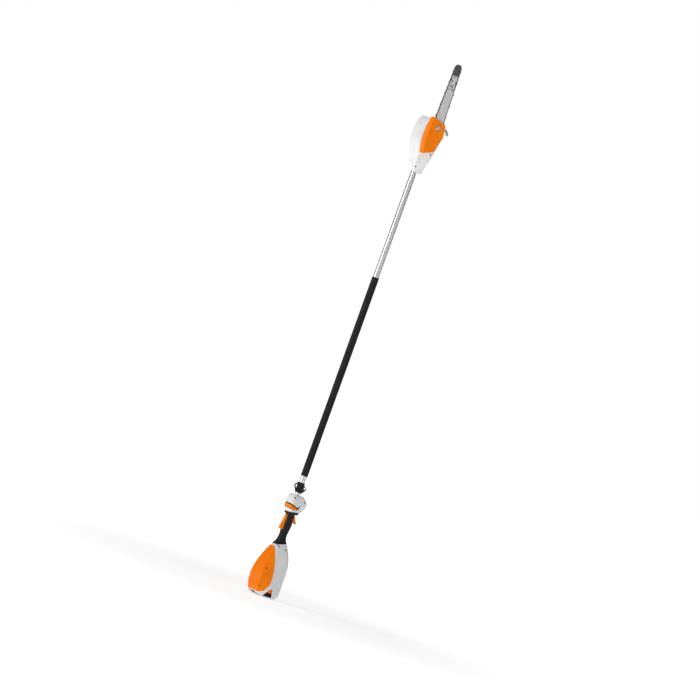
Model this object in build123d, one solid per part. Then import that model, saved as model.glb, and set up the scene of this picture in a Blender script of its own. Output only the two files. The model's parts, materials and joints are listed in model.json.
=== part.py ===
"""Battery pole pruner: battery housing and handle, a one-piece shaft, and a saw head with a guide bar.

Frame: +Z runs along the shaft from the battery end to the bar tip, +X is the side with the guide bar and
the sprocket cover, and -Y is the side that faces up in use, with the battery cover and the lock lever.
The origin is on the shaft's axis, at the plane of the battery housing's open end. Sizes are in mm.
"""

from build123d import *
from math import atan2, cos, degrees, pi, radians, sin
import os

os.makedirs("parts", exist_ok=True)

# ---- Driving dimensions ----
GAP = 0.3  # between pieces that move past each other
FIT = 0.05  # radial clearance of a running fit

SHAFT_RADIUS = 12.7
SHAFT_WALL = 1.6
SHAFT_BOTTOM = 371.0
SHAFT_TOP = 1962.0
SLEEVE_RADIUS = 15.3
SLEEVE_BOTTOM = 539.0
SLEEVE_TOP = 1434.0

WALL = 2.6  # of the moulded housings
HOUSING_TOP = 236.0
HOUSING_TOP_TILT = 15.4
CREASE_HEIGHT = 97.0
CREASE_TILT = 25.0

BATTERY_HALF_WIDTH = 34.0
BATTERY_Y = (-36.0, 44.0)
BATTERY_Z = (4.0, 146.0)
BAY_CLEARANCE = 0.6
BAY_WALL = 2.0
BAY_BOTTOM = 16.0
LATCH_PIVOT = (46.0, 66.0)  # x, z
LATCH_PIN_RADIUS = 1.5
HOUSING_SCREW_LENGTH = 16.0
COVER_SCREW_LENGTH = 9.0
BOSS_RADIUS = 4.6  # of the moulded posts that the case screws go into
CABLE_WAY_RADIUS = 9.0
ARCH_RADIUS = 100.0  # of the opening across the housing's end
ARCH_HEIGHT = 13.0

HANDLE_TOP = 366.0
FLANGE_TILT = 7.0
FLANGE_Z = (369.0, 379.0)
TRIGGER_PIVOT = (11.5, 359.0)  # y, z
LOCK_PIVOT = (-11.5, 357.0)  # y, z
LEVER_HALF_WIDTH = 7.5
SLOT_HALF_WIDTH = 8.0
LEVER_PIN_RADIUS = 1.5
LEVER_HUB_RADIUS = 3.6
PLUNGER_RADIUS = 2.6

CONTROL_SCREW_LENGTH = 26.0
STRAP_EYE = (24.8, 488.0)  # y, z
STRAP_EYE_RADIUS = 5.5

HEAD_SIDE_X = 44.5  # flat side of the saw head, which the sprocket cover closes
HEAD_BOTTOM = 1913.5
HEAD_TOP = 2149.0
HEAD_SPLIT_X = 20.0  # where the head's left and right shells meet
HEAD_SCREW_LENGTH = 32.0
HOOK_X = (31.0, 39.0)
CATCHER_Y = 30.0
CATCHER_Z = 2078.0
CATCHER_RADIUS = 2.5
CAP_Y = 2.0
CAP_Z = 2112.0
COVER_FACE_X = 62.0
BAR_X = 49.0
BAR_THICKNESS = 4.0
BAR_GROOVE = 1.5
SPROCKET_Z = 2055.0
NOSE_Z = 2382.0
NOSE_RADIUS = 14.0
NOSE_HUB_RADIUS = 4.0
NOSE_TEETH = 9
BAR_HALF_WIDTH = 22.0
BELLY_Z = 2140.0
BELLY_RADIUS = 14.0
BAR_HEEL_Z = 2092.0
STUD_Z = 2119.0
STUD_RADIUS = 4.0
TENSIONER_X = 41.0
TENSIONER_Y = -12.0
TENSIONER_RADIUS = 1.6
TENSIONER_PIN_Z = 2104.0
TENSION_TRAVEL = 6.0

CHAIN_PITCH = 12.7  # over three rivets
RIVET_ABOVE_RAIL = 2.6
SPROCKET_PITCH_RADIUS = 16.6
SPROCKET_TEETH = 8
TANG_DEPTH = 5.2
DRIVE_SPROCKET_RADIUS = SPROCKET_PITCH_RADIUS - TANG_DEPTH - 0.9
NOSE_SPROCKET_RADIUS = NOSE_RADIUS + RIVET_ABOVE_RAIL - TANG_DEPTH - 0.8
RIVET_RADIUS = 1.0
RIVET_HOLE_RADIUS = 1.15
STRAP_X = (0.75, 1.65)  # a chain plate's faces, from the chain's middle plane
STRAP_HEIGHT = 4.4

GEAR_MODULE = 1.0
PINION_TEETH = 14
GEAR_TEETH = 42
MOTOR_Y = -20.0
MOTOR_DROP = 19.6  # motor axis below the output axis
MOTOR_Z = SPROCKET_Z - MOTOR_DROP
MOTOR_X = (-25.0, 1.0)
STATOR_RADIUS = 25.0
ROTOR_RADIUS = 14.5
STATOR_TEETH = 9
MOTOR_SHAFT_RADIUS = 2.5
OUTPUT_SHAFT_RADIUS = 4.0
BEARING_RADIUS = 8.0
CARRIER_X = (6.0, 12.0)
GEAR_CASE_X = (34.0, 40.0)


# ---- Helpers ----
def tipped_plane(height, tilt):
    """A plane across the shaft at a height, tipped about X so that its +Y side is higher."""
    normal = (0, -sin(radians(tilt)), cos(radians(tilt)))
    return Plane(origin=(0, 0, height), x_dir=(1, 0, 0), z_dir=normal)


def outline(points, radii):
    """A closed outline with rounded corners, as a face."""
    return make_face(FilletPolyline(*points, radius=radii, close=True))


def level_face(height, points, radii, tilt=0.0):
    """An outline across the shaft; its Y values stay true when the plane is tipped."""
    stretched = [(x, y / cos(radians(tilt))) for x, y in points]
    return tipped_plane(height, tilt) * outline(stretched, radii)


def side_plate(points, radii, x_low, x_high):
    """An outline in Y and Z, pushed from x_low to x_high."""
    return extrude(Plane.YZ.offset(x_low) * outline(points, radii), amount=x_high - x_low)


def box_between(low, high):
    size = [b - a for a, b in zip(low, high)]
    middle = [(a + b) / 2 for a, b in zip(low, high)]
    return Pos(*middle) * Box(*size)


def rod(start, end, radius, bore=0.0):
    """A round bar, or a tube where it has a bore, between two points."""
    axis = Vector(*end) - Vector(*start)
    foot = Plane(origin=start, z_dir=axis)
    bar = foot * Cylinder(radius, axis.length, align=(Align.CENTER, Align.CENTER, Align.MIN))
    if bore:
        bar -= foot * Cylinder(bore, axis.length, align=(Align.CENTER, Align.CENTER, Align.MIN))
    return bar


def solids_of(shape):
    """A group of separate solids, or the one solid itself."""
    bodies = shape.solids()
    if len(bodies) == 1:
        return bodies[0]
    return Compound(children=list(bodies))


def group(shapes):
    """Several separate pieces as one group."""
    return Compound(children=[solid for shape in shapes for solid in shape.solids()])


def screw(head, inward, length, shank=2.0, head_radius=3.4, head_height=2.4):
    """A pan-head screw with a hexagon socket; the head's outer face is at the given point."""
    start = Vector(*head)
    way = Vector(*inward).normalized()
    shoulder = start + way * head_height
    body = rod(start, shoulder, head_radius) + rod(shoulder, shoulder + way * length, shank)
    socket = Plane(origin=tuple(start), z_dir=way) * RegularPolygon(head_radius * 0.5, 6)
    return body - extrude(socket, amount=head_height * 0.6)


def screw_space(head, inward, length, shank=2.0, head_radius=3.4, head_height=2.4, above=12.0):
    """What a screw takes up, with the way out above its head."""
    start = Vector(*head)
    way = Vector(*inward).normalized()
    shoulder = start + way * head_height
    head_space = rod(start - way * above, shoulder, head_radius + 0.2)
    return head_space + rod(shoulder, shoulder + way * length, shank)


def torsion_spring(centre, turns, wire, coil_radius, axis_dir):
    """A close-wound coil round a pin, with its turns pressed together."""
    pitch = wire * 1.9
    profile = Sketch()
    for turn in range(turns):
        profile += Pos(coil_radius, (turn - (turns - 1) / 2) * pitch) * Circle(wire)
    coil = revolve(Plane.XZ * profile, axis=Axis.Z)
    return Plane(origin=centre, z_dir=axis_dir) * coil


def gear_outline(teeth, module, phase):
    """A spur gear's outline with straight-sided teeth; one tooth points along phase, in degrees."""
    tip_radius = module * (teeth / 2 + 0.8)
    root_radius = module * (teeth / 2 - 1.1)
    pitch_angle = 2 * pi / teeth
    corners = []
    for tooth in range(teeth):
        middle = radians(phase) + tooth * pitch_angle
        flank = ((root_radius, -0.30), (tip_radius, -0.11), (tip_radius, 0.11), (root_radius, 0.30))
        for radius, share in flank:
            angle = middle + share * pitch_angle
            corners.append((radius * cos(angle), radius * sin(angle)))
    return make_face(Polyline(*corners, close=True))


def write(name, shape):
    export_step(solids_of(shape), f"parts/{name}.step")


# Small pieces that occur many times are collected here, and written as one group each.
case_screws = []
lever_pins = []
lever_springs = []
bearings = []


# ---- Battery housing ----
# Each section: height on the axis, tilt, half width of the upper face, its Y, foot of the bevel, half
# width of the sides, Y of the underside.
LOWER_SECTIONS = (
    (0.0, 0.0, 28.0, -50.0, -24.0, 52.0, 54.0),
    (14.0, 0.0, 31.0, -56.0, -21.0, 53.5, 56.0),
    (34.0, 0.0, 35.0, -61.5, -17.0, 54.6, 57.0),
    (70.0, 16.0, 40.0, -63.5, -14.0, 55.0, 57.0),
    (CREASE_HEIGHT, CREASE_TILT, 41.0, -63.5, -14.0, 55.0, 57.0),
)
UPPER_SECTIONS = (
    (CREASE_HEIGHT, CREASE_TILT, 41.0, -63.5, -14.0, 55.0, 57.0),
    (142.0, 22.0, 39.5, -62.0, -20.0, 51.5, 52.5),
    (190.0, 18.0, 29.0, -48.0, -25.0, 41.0, 41.0),
    (HOUSING_TOP, HOUSING_TOP_TILT, 15.0, -28.0, -15.0, 22.0, 23.0),
)


def housing_face(section, inset):
    """One section of the battery housing, pulled in by inset, or pushed out where it is negative."""
    height, tilt, upper, upper_y, foot_y, side, under_y = section
    upper = upper - inset * 0.5
    upper_y = upper_y + inset
    side = side - inset
    under_y = under_y - inset
    corner = 0.28 * side
    points = [
        (-upper, upper_y), (upper, upper_y), (side, foot_y), (side, under_y - corner),
        (side - corner, under_y), (corner - side, under_y), (-side, under_y - corner), (-side, foot_y),
    ]  # fmt: skip
    return level_face(height, points, [3.0, 3.0, 5.0, 6.0, 6.0, 6.0, 6.0, 5.0], tilt)


def housing_body(inset, open_end=0.0, top_drop=0.0):
    """The battery housing as one solid, from two lofts that meet in a crease."""
    lower = [housing_face(section, inset) for section in LOWER_SECTIONS]
    upper_sections = [*UPPER_SECTIONS[:-1], (UPPER_SECTIONS[-1][0] - top_drop, *UPPER_SECTIONS[-1][1:])]
    upper = [housing_face(section, inset) for section in upper_sections]
    body = loft(lower) + loft(upper)
    if open_end:
        body += extrude(lower[0], amount=-open_end)
    return body


def cover_region(clearance):
    """The part of the housing's upper side that the battery cover takes: its edge seen from the side, cut
    to a round arch seen from above."""
    side_points = [
        (-90, 16 - clearance), (-47, 16 - clearance), (-30 + clearance, 26), (-13 + clearance, 62),
        (-14 + clearance, 95), (-23 + clearance, 150), (-30 + clearance, 188), (-34 + clearance, 240),
        (-90, 240),
    ]  # fmt: skip
    arch_points = [
        (-75, 0), (75, 0), (75, 110), (24 + clearance, 219 + clearance), (-24 - clearance, 219 + clearance),
        (-75, 110),
    ]  # fmt: skip
    from_side = side_plate(side_points, [0, 4, 8, 14, 60, 80, 80, 0, 0], -70, 70)
    from_above = extrude(Plane.XZ * outline(arch_points, [0, 0, 40, 30, 30, 40]), amount=100)
    return from_side & from_above


def both_sides(points):
    """The given points, and their mirror images in X."""
    return [(side * x, y, z) for side in (-1, 1) for x, y, z in points]


HOUSING_SCREWS = both_sides([(25.0, -17.0, 223.0), (25.0, 17.0, 218.0)])
COVER_SCREWS = both_sides([(44.0, -52.0, 121.0), (40.0, -52.0, 41.5)])


def inward_x(point):
    return (-1 if point[0] > 0 else 1, 0, 0)


def make_battery_housing():
    outer = housing_body(0.0)
    shell = outer - housing_body(WALL, open_end=4.0, top_drop=WALL)
    # The underside's end is cut off on a slant.
    shell -= side_plate([(24, -2), (24, 0), (52, 16), (90, 16 + 38 * 16 / 28), (90, -2)], 0, -70, 70)
    # An arched opening across the upper side's end, for drawing the battery out.
    arch = Pos(0, -62, ARCH_HEIGHT - ARCH_RADIUS) * Rot(90, 0, 0) * Cylinder(ARCH_RADIUS, 60.0)
    shell -= arch & box_between((-46, -90, -5), (46, -32, 30))
    # A finger window in each side, over the battery latch.
    window = [(-31, -2), (-31, 0), (-20, 20), (-10, 33), (3, 42), (9, 40), (12, 24), (19, 0), (19, -2)]
    shell -= side_plate(window, [0, 1, 4, 4, 4, 2, 4, 1, 0], -70, 70)
    shell -= cover_region(GAP)
    # A seat for the rubber skid.
    shell -= box_between((-30, 56.2, 18), (30, 62, 50))
    for point in HOUSING_SCREWS:
        centre = (0, point[1], point[2])
        shell += rod((point[0] * 0.96, point[1], point[2]), centre, BOSS_RADIUS) & outer
    for point in HOUSING_SCREWS:
        shell -= screw_space(point, inward_x(point), HOUSING_SCREW_LENGTH)
    # The cable's way into the handle.
    shell -= rod((0, 0, 200), (0, 0, 260), CABLE_WAY_RADIUS)
    right = shell & box_between((0, -100, -10), (100, 100, 300))
    left = shell & box_between((-100, -100, -10), (0, 100, 300))
    write("battery_housing_right", largest(right))
    write("battery_housing_left", largest(left))
    case_screws.extend(screw(p, inward_x(p), HOUSING_SCREW_LENGTH) for p in HOUSING_SCREWS)

    cover = (housing_body(-1.0) - housing_body(WALL)) & cover_region(0.0)
    for point in COVER_SCREWS:
        cover -= screw_space(point, inward_x(point), COVER_SCREW_LENGTH)
    write("battery_cover", largest(cover))
    case_screws.extend(screw(p, inward_x(p), COVER_SCREW_LENGTH) for p in COVER_SCREWS)

    skid = side_plate([(56.2, 18), (59.6, 20), (60.2, 26), (59.4, 32), (60.2, 38), (59.6, 48), (56.2, 50)],
                      [0, 1, 2, 4, 2, 1, 0], -29.8, 29.8)  # fmt: skip
    write("rubber_skid", skid)


def largest(shape):
    """The biggest solid of a cut, without the crumbs."""
    return max(shape.solids(), key=lambda solid: solid.volume)


# ---- Battery, its bay and its latches ----
def make_battery_bay():
    inner_x = BATTERY_HALF_WIDTH + BAY_CLEARANCE
    outer_x = inner_x + BAY_WALL
    low_y = BATTERY_Y[0] - BAY_CLEARANCE
    high_y = BATTERY_Y[1] + BAY_CLEARANCE
    roof = BATTERY_Z[1] + 2.0
    liner = box_between(
        (-outer_x, low_y - BAY_WALL, BAY_BOTTOM),
        (outer_x, high_y + BAY_WALL, roof + BAY_WALL),
    )
    liner -= box_between((-inner_x, low_y, BAY_BOTTOM - 6), (inner_x, high_y, roof))
    liner -= box_between((-8, -7, roof - 1), (8, 7, roof + BAY_WALL + 1))
    for side in (-1, 1):
        liner -= box_between(*sorted_corners((side * 30, -6, 74), (side * 40, 10, 92)))
        for ear in ((-14.6, -11.6), (22.0, 25.0)):
            low, high = sorted_corners((side * outer_x, ear[0], 60), (side * 50, ear[1], 72))
            liner += box_between(low, high)
        pin_start = (side * LATCH_PIVOT[0], -15, LATCH_PIVOT[1])
        pin_end = (side * LATCH_PIVOT[0], 26, LATCH_PIVOT[1])
        liner -= rod(pin_start, pin_end, LATCH_PIN_RADIUS)
    liner += terminal_block(roof + BAY_WALL)
    write("battery_bay", liner)
    for side in (-1, 1):
        x, z = side * LATCH_PIVOT[0], LATCH_PIVOT[1]
        lever_pins.append(rod((x, -14.6, z), (x, 25.0, z), LATCH_PIN_RADIUS))
        lever_springs.append(torsion_spring((x, 18.0, z), 4, 0.6, 2.6, (0, 1, 0)))


def terminal_block(foot):
    """The block on the bay's roof that holds the three terminal blades."""
    block = box_between((-16, -12, foot - 0.5), (16, 12, foot + 9))
    block -= box_between((-8, -7, foot - 1), (8, 7, foot))
    for lane in (-1, 0, 1):
        block -= box_between((lane * 5 - 0.5, -3.5, foot - 5), (lane * 5 + 0.5, 3.5, foot + 5))
    return block


def sorted_corners(first, second):
    low = tuple(min(a, b) for a, b in zip(first, second))
    high = tuple(max(a, b) for a, b in zip(first, second))
    return low, high


def make_latches():
    for name, side in (("battery_latch_right", 1), ("battery_latch_left", -1)):
        lever = box_between(*sorted_corners((side * 45, -9.5, 23), (side * 50.5, 13.5, 60)))
        lever = fillet(lever.edges().filter_by(Axis.Z), 1.5)
        lever += box_between(*sorted_corners((side * 43.6, -9.5, 56), (side * 48, 13.5, 84)))
        lever += box_between(*sorted_corners((side * 32.6, -3, 78), (side * 45, 7, 84)))
        for rib in range(4):
            height = 26 + rib * 4.0
            lever += box_between(*sorted_corners((side * 50, -7, height), (side * 51.3, 11, height + 1.6)))
        pivot = (side * LATCH_PIVOT[0], -20, LATCH_PIVOT[1])
        lever += rod((pivot[0], -9.5, pivot[2]), (pivot[0], 13.5, pivot[2]), LEVER_HUB_RADIUS)
        lever -= rod(pivot, (pivot[0], 30, pivot[2]), LATCH_PIN_RADIUS + FIT)
        write(name, lever)


def make_battery():
    half = BATTERY_HALF_WIDTH
    low_y, high_y = BATTERY_Y
    low_z, high_z = BATTERY_Z
    case = box_between((-half, low_y, low_z), (half, high_y, high_z))
    case = fillet(case.edges().filter_by(Axis.Z), 6.0)
    for side in (-1, 1):
        # The groove that the latch's nose rides in, open at the top.
        case -= box_between(*sorted_corners((side * 31.4, -4.5, 76), (side * 40, 8.5, 160)))
    case -= box_between((-12, -8, 128), (12, 8, 160))
    inside = box_between((-half + 6, low_y + 4, low_z + 5), (half - 6, high_y - 4, 122))
    case -= inside
    case += box_between((-12, -8, 121), (12, 8, 129))
    write("battery_case", case)
    cells = []
    for column in range(2):
        for row in range(3):
            x = (column - 0.5) * 24.0
            y = (low_y + high_y) / 2 + (row - 1) * 23.0
            cells.append(rod((x, y, low_z + 6), (x, y, 116), 10.5))
    write("battery_cells", group(cells))
    sockets = []
    for lane in range(3):
        x = (lane - 1) * 5.0
        socket = box_between((x - 1.6, -5, 129), (x + 1.6, 5, 143))
        sockets.append(socket - box_between((x - 0.9, -6, 130.5), (x + 0.9, 6, 144)))
    write("battery_contacts", group(sockets))


def make_terminals():
    roof = BATTERY_Z[1] + 2.0 + BAY_WALL
    blades = []
    for lane in range(3):
        x = (lane - 1) * 5.0
        blades.append(box_between((x - 0.5, -3.5, 132), (x + 0.5, 3.5, roof + 5)))
    write("terminal_blades", group(blades))
    board = box_between((-20, -20, 172), (20, 20, 173.6)) - rod((0, 0, 170), (0, 0, 180), 4.5)
    for x, y in ((-13, -12), (13, -12), (-13, 12)):
        board += rod((x, y, 173.6), (x, y, 186), 4.0)
    board += box_between((8, 7, 173.6), (17, 16, 176))
    for x in (-17, 17):
        board += rod((x, 0, roof + 9), (x, 0, 172), 1.5)
    write("control_board", board)


# ---- Handle ----
HANDLE_SECTIONS = (
    (HOUSING_TOP + 0.05, HOUSING_TOP_TILT, 22.0, -28.0, 23.0, 9.0),
    (247.0, 10.0, 17.8, -20.5, 20.5, 10.0),
    (256.0, 3.0, 16.2, -17.8, 18.2, 11.0),
    (300.0, 0.0, 16.0, -17.5, 18.0, 11.0),
    (340.0, 0.0, 16.0, -17.5, 18.5, 11.0),
    (FLANGE_Z[0], FLANGE_TILT, 17.0, -19.0, 20.0, 11.0),
)


def rounded_box_face(section, inset):
    height, tilt, half_width, low_y, high_y, radius = section
    points = [
        (-half_width + inset, low_y + inset), (half_width - inset, low_y + inset),
        (half_width - inset, high_y - inset), (-half_width + inset, high_y - inset),
    ]  # fmt: skip
    return level_face(height, points, radius - inset, tilt)


def flange_body():
    low = rounded_box_face((FLANGE_Z[0], FLANGE_TILT, 20.0, -24.0, 28.0, 13.0), 0)
    high = rounded_box_face((FLANGE_Z[1], FLANGE_TILT, 22.5, -27.0, 33.0, 14.0), 0)
    return loft([low, high])


def make_handle():
    outer = loft([rounded_box_face(section, 0) for section in HANDLE_SECTIONS]) + flange_body()
    inner = loft([rounded_box_face(section, 2.5) for section in HANDLE_SECTIONS[:-1]])
    inner &= box_between((-40, -40, 200), (40, 40, HANDLE_TOP - 1))
    inner += rod((0, 0, 230), (0, 0, HANDLE_TOP - 2), 12.0)
    grip = outer - inner
    grip -= rod((0, 0, 360), (0, 0, 400), 5.0)
    grip -= rod((0, 0, SHAFT_BOTTOM), (0, 0, 400), SHAFT_RADIUS)
    # Slots for the trigger, on the underside, and the lock lever, on the upper side.
    grip -= box_between((-SLOT_HALF_WIDTH, 8, 326), (SLOT_HALF_WIDTH, 30, 366))
    grip -= box_between((-SLOT_HALF_WIDTH, -30, 290), (SLOT_HALF_WIDTH, -8, 366))
    for y, z in (TRIGGER_PIVOT, LOCK_PIVOT):
        for side in (-1, 1):
            boss = rod((side * 8.1, y, z), (side * 15, y, z), 3.4)
            grip += boss
        grip -= rod((-14, y, z), (14, y, z), LEVER_PIN_RADIUS)
    points = ((16.9, 12.0, 250.0), (16.5, 22.0, 373.5))
    spaces = [screw_space(p, (-1, 0, 0), 24.0) for p in points]
    for space, (x, y, z) in zip(spaces, points):
        grip += rod((-12, y, z), (x - 3, y, z), 4.0) & outer
    for space in spaces:
        grip -= space
    right = grip & box_between((0, -60, 200), (60, 60, 420))
    left = grip & box_between((-60, -60, 200), (0, 60, 420))
    write("handle_right", largest(right))
    write("handle_left", largest(left))
    case_screws.extend(screw(p, (-1, 0, 0), 24.0) for p in points)


def make_trigger():
    y, z = TRIGGER_PIVOT
    points = [(6.5, 363), (17, 364.5), (24, 361), (32, 346), (40, 332.5), (36.5, 330), (27, 338), (21, 342),
              (12, 341), (8, 351)]  # fmt: skip
    trigger = side_plate(points, [2, 3, 5, 20, 1.5, 1.5, 6, 5, 3, 4], -LEVER_HALF_WIDTH, LEVER_HALF_WIDTH)
    trigger += rod((-LEVER_HALF_WIDTH, y, z), (LEVER_HALF_WIDTH, y, z), LEVER_HUB_RADIUS)
    trigger -= box_between((-2.6, 0, 350), (2.6, 15.6, 370))
    trigger -= rod((-20, y, z), (20, y, z), LEVER_PIN_RADIUS + FIT)
    write("trigger", trigger)
    lever_pins.append(rod((-14, y, z), (14, y, z), LEVER_PIN_RADIUS))
    lever_springs.append(torsion_spring((0, y, z), 3, 0.6, 2.6, (1, 0, 0)))


def make_lock_lever():
    y, z = LOCK_PIVOT
    points = [
        (-8, 361), (-16, 362.5), (-20.5, 359), (-23, 345), (-31, 303),
        (-29, 295), (-22, 294.5), (-17, 298), (-14.5, 330), (-8, 350),
    ]  # fmt: skip
    lever = side_plate(points, [2, 3, 5, 40, 5, 3, 2, 3, 20, 4], -LEVER_HALF_WIDTH, LEVER_HALF_WIDTH)
    lever += rod((-LEVER_HALF_WIDTH, y, z), (LEVER_HALF_WIDTH, y, z), LEVER_HUB_RADIUS)
    lever -= box_between((-2.6, -15.6, 348), (2.6, 0, 370))
    lever -= rod((-20, y, z), (20, y, z), LEVER_PIN_RADIUS + FIT)
    write("lock_lever", lever)
    lever_pins.append(rod((-14, y, z), (14, y, z), LEVER_PIN_RADIUS))
    lever_springs.append(torsion_spring((0, y, z), 3, 0.6, 2.6, (1, 0, 0)))


def make_switch():
    # The switch stands beside the cable; its plunger points at the trigger's lower heel.
    x, y = 8.5, 5.0
    body = box_between((4, -9, 306), (12.8, 9, 330)) - rod((x, y, 300), (x, y, 340), PLUNGER_RADIUS + FIT)
    write("speed_switch", body)
    write("switch_plunger", rod((x, y, 308), (x, y, 334), PLUNGER_RADIUS))


# ---- Control head ----
CONTROL_SECTIONS = (
    (FLANGE_Z[1] + 0.05, FLANGE_TILT, 20.0, -25.0, 30.0, 12.0),
    (392.0, 5.0, 25.0, -32.0, 40.0, 13.0),
    (418.0, 2.0, 27.0, -34.5, 52.0, 13.0),
    (440.0, 0.0, 25.0, -32.5, 42.0, 13.0),
    (452.5, 0.0, 20.5, -27.0, 27.0, 12.0),
)
CONTROL_SCREWS = ((24.6, -22.0, 441.0), (25.4, 31.0, 433.0), (24.0, 29.0, 391.0))


def control_body(inset):
    return loft([rounded_box_face(section, inset) for section in CONTROL_SECTIONS])


def make_control_head():
    head = control_body(0.0)
    head -= rod((0, 0, 370), (0, 0, 460), SHAFT_RADIUS)
    head -= box_between((-19, 17, 402), (19, 38, 430))
    groove_points = [(-50, 389.6), (-50, 414.5), (-33, 413.5), (8, 403), (11, 413), (16, 413), (14, 396),
                     (8, 388), (-33, 391.2)]  # fmt: skip
    groove = side_plate(groove_points, [0, 0, 4, 3, 1, 1, 6, 3, 6], -60, 60)
    head -= (control_body(-2.0) - control_body(3.6)) & groove
    for point in CONTROL_SCREWS:
        head -= screw_space(point, (-1, 0, 0), CONTROL_SCREW_LENGTH)
    right = head & box_between((0, -60, 370), (60, 80, 460))
    left = head & box_between((-60, -60, 370), (0, 80, 460))
    write("control_head_right", largest(right))
    write("control_head_left", largest(left))
    case_screws.extend(screw(p, (-1, 0, 0), CONTROL_SCREW_LENGTH) for p in CONTROL_SCREWS)

    track = (control_body(2.95) - control_body(3.55)) & groove
    write("slide_track", largest(track))

    slider_points = [(-50, 391.2), (-50, 408.8), (-33, 408), (5, 397.6), (9, 393), (5, 390.4), (-33, 393)]
    slider_region = side_plate(slider_points, [0, 0, 4, 1.5, 1, 1, 4], -60, 60)
    slider = (control_body(-0.6) - control_body(1.9)) & slider_region
    write("retaining_latch", largest(slider))


# ---- Shaft ----
def make_shaft():
    write("shaft_tube", rod((0, 0, SHAFT_BOTTOM), (0, 0, SHAFT_TOP), SHAFT_RADIUS, SHAFT_RADIUS - SHAFT_WALL))
    sleeve = rod((0, 0, SLEEVE_BOTTOM), (0, 0, SLEEVE_TOP), SLEEVE_RADIUS)
    sleeve = fillet(sleeve.edges(), 1.0) - rod((0, 0, SLEEVE_BOTTOM), (0, 0, SLEEVE_TOP), SHAFT_RADIUS)
    write("grip_sleeve", sleeve)
    write("shaft_cable", rod((0, 0, 178), (0, 0, 1990), 3.0))


def make_strap_ring():
    ring = rod((0, 0, 464), (0, 0, 509), 15.6)
    ring = fillet(ring.edges(), 1.5)
    big_loop = [(-10, 510), (-16, 509), (-33, 493), (-15, 464), (-10, 464)]
    ring += side_plate(big_loop, [0, 6, 5, 4, 0], -3.0, 3.0)
    small_loop = [(10, 503), (17, 500), (34.5, 489), (28, 477), (16, 465), (10, 465)]
    ring += side_plate(small_loop, [0, 4, 6, 6, 5, 0], -2.5, 2.5)
    ring -= side_plate([(-16.5, 504), (-28.5, 492.5), (-16.5, 474)], [2.5, 2.5, 2.5], -5, 5)
    ring -= rod((-5, STRAP_EYE[0], STRAP_EYE[1]), (5, STRAP_EYE[0], STRAP_EYE[1]), STRAP_EYE_RADIUS)
    ring -= rod((0, 0, 450), (0, 0, 520), SHAFT_RADIUS)
    write("strap_ring", ring)


# ---- Saw head ----
HEAD_SECTIONS = (
    # height, tilt, low X, high X, low Y, high Y
    (HEAD_BOTTOM, -14.0, -18.0, 21.0, -22.0, 28.0),
    (1943.0, -10.0, -24.0, 28.0, -30.0, 30.5),
    (1990.0, -5.0, -33.0, 42.0, -43.5, 35.5),
    (2050.0, 0.0, -40.0, 50.0, -56.5, 37.0),
    (2100.0, 0.0, -39.5, 50.0, -54.0, 37.0),
    (2140.0, 0.0, -35.0, 50.0, -44.0, 37.0),
    (HEAD_TOP, 0.0, -32.0, 50.0, -39.0, 34.0),
)


def head_face(section, inset):
    height, tilt, low_x, high_x, low_y, high_y = section
    points = [
        (low_x + inset, low_y + inset), (high_x - inset, low_y + inset),
        (high_x - inset, high_y - inset), (low_x + inset, high_y - inset),
    ]  # fmt: skip
    radii = [13.0 - inset, 5.0 - inset * 0.6, 9.0 - inset, 12.0 - inset]
    return level_face(height, points, radii, tilt)


def head_body(inset, end_wall=0.0):
    sections = list(HEAD_SECTIONS)
    if end_wall:
        sections[0] = (HEAD_BOTTOM + end_wall, *HEAD_SECTIONS[0][1:])
        sections[-1] = (HEAD_TOP - end_wall, *HEAD_SECTIONS[-1][1:])
    body = loft([head_face(section, inset) for section in sections])
    return body & box_between((-100, -100, 1800), (HEAD_SIDE_X - inset, 100, 2300))


HEAD_SCREWS = ((43.8, -44.0, 2068.0), (43.0, 22.0, 2000.0), (24.0, -18.0, 1934.0), (43.8, 16.0, 2137.0))


def make_head_housing():
    outer = head_body(0.0)
    shell = outer - head_body(WALL, end_wall=WALL)
    # A socket that holds the shaft.
    shell += rod((0, 0, 1918), (0, 0, SHAFT_TOP), SHAFT_RADIUS + 3.5) & outer
    shell -= rod((0, 0, 1880), (0, 0, SHAFT_TOP), SHAFT_RADIUS)
    shell -= rod((0, 0, SHAFT_TOP - 1), (0, 0, SHAFT_TOP + 1), 10.0)
    shell -= rod((30, 0, SPROCKET_Z), (60, 0, SPROCKET_Z), 9.0)
    shell -= rod((30, 0, STUD_Z), (60, 0, STUD_Z), STUD_RADIUS)
    shell -= rod((30, CATCHER_Y, CATCHER_Z), (60, CATCHER_Y, CATCHER_Z), CATCHER_RADIUS)
    shell -= hook_blank()
    shell -= rod((-60, CAP_Y, CAP_Z), (-28, CAP_Y, CAP_Z), 12.4)
    x, y = TENSIONER_X, TENSIONER_Y
    shell += box_between((x - 5, y - 6, 2139), (HEAD_SIDE_X, y + 6, HEAD_TOP)) & outer
    shell -= box_between((x - 3.3, y - 3.3, 2088), (HEAD_SIDE_X + 1, y + 3.3, 2139))
    shell -= rod((x, y, 2130), (x, y, 2150), TENSIONER_RADIUS + FIT) + rod((x, y, 2145.6), (x, y, 2155), 3.3)
    for point in HEAD_SCREWS:
        shell += rod(point, (-12, point[1], point[2]), BOSS_RADIUS) & outer
    for point in HEAD_SCREWS:
        shell -= screw_space(point, (-1, 0, 0), HEAD_SCREW_LENGTH, above=14.0)
    right = shell & box_between((HEAD_SPLIT_X, -100, 1800), (100, 100, 2300))
    left = shell & box_between((-100, -100, 1800), (HEAD_SPLIT_X, 100, 2300))
    write("head_housing_right", largest(right))
    write("head_housing_left", largest(left))
    case_screws.extend(screw(p, (-1, 0, 0), HEAD_SCREW_LENGTH) for p in HEAD_SCREWS)


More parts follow.
